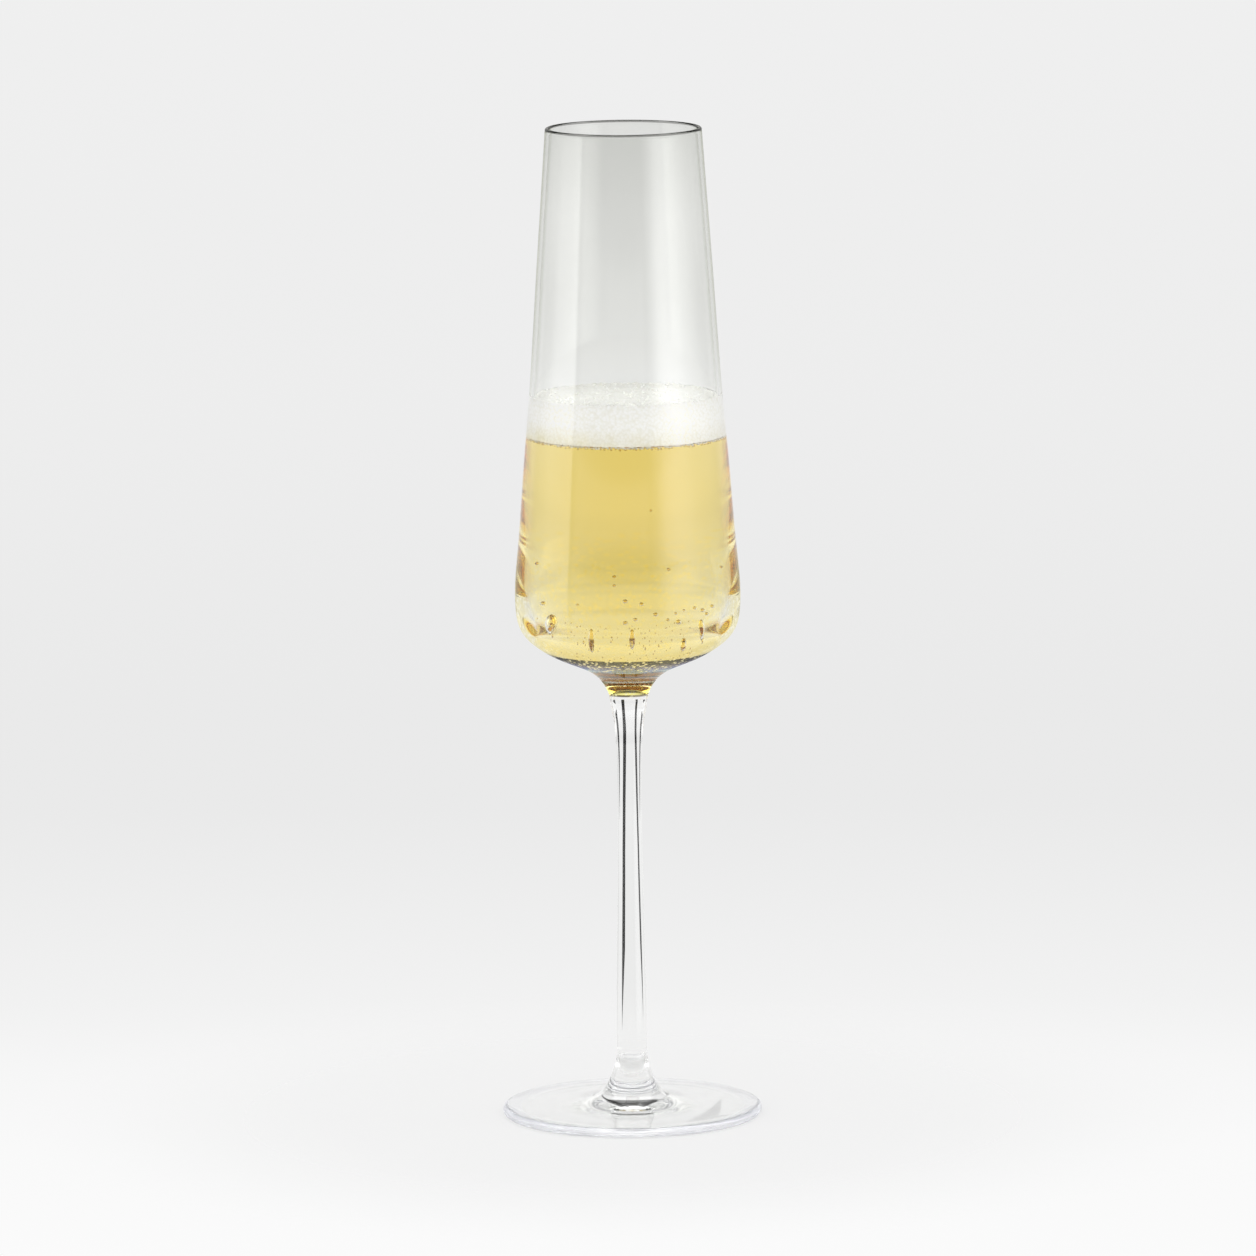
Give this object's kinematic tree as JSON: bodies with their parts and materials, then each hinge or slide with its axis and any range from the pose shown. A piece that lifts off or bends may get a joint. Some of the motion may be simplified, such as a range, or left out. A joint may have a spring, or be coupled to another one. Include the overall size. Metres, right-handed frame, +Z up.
{
  "type": "champagne flute",
  "caption": "Tall stemmed flute with a tapering bowl on a thin stem and round foot, holding a pour of pale gold sparkling wine under a white foam head.",
  "frame": {"origin": "centre of the resting plane under the foot", "axes": "+Z up along the axis of the stem; the glass is round, so +X and +Y are alike, and -Y faces the viewer"},
  "size_m": [0.068, 0.068, 0.26],
  "materials": {
    "bowl_glass": "polished",
    "stem_glass": "polished",
    "foot_glass": "polished",
    "champagne": "gloss",
    "foam": "matte"
  },
  "bodies": {
    "root": {"bowl": "bowl_glass", "stem": "stem_glass", "foot": "foot_glass", "champagne": "champagne", "foam_head": "foam"}
  },
  "joints": []
}
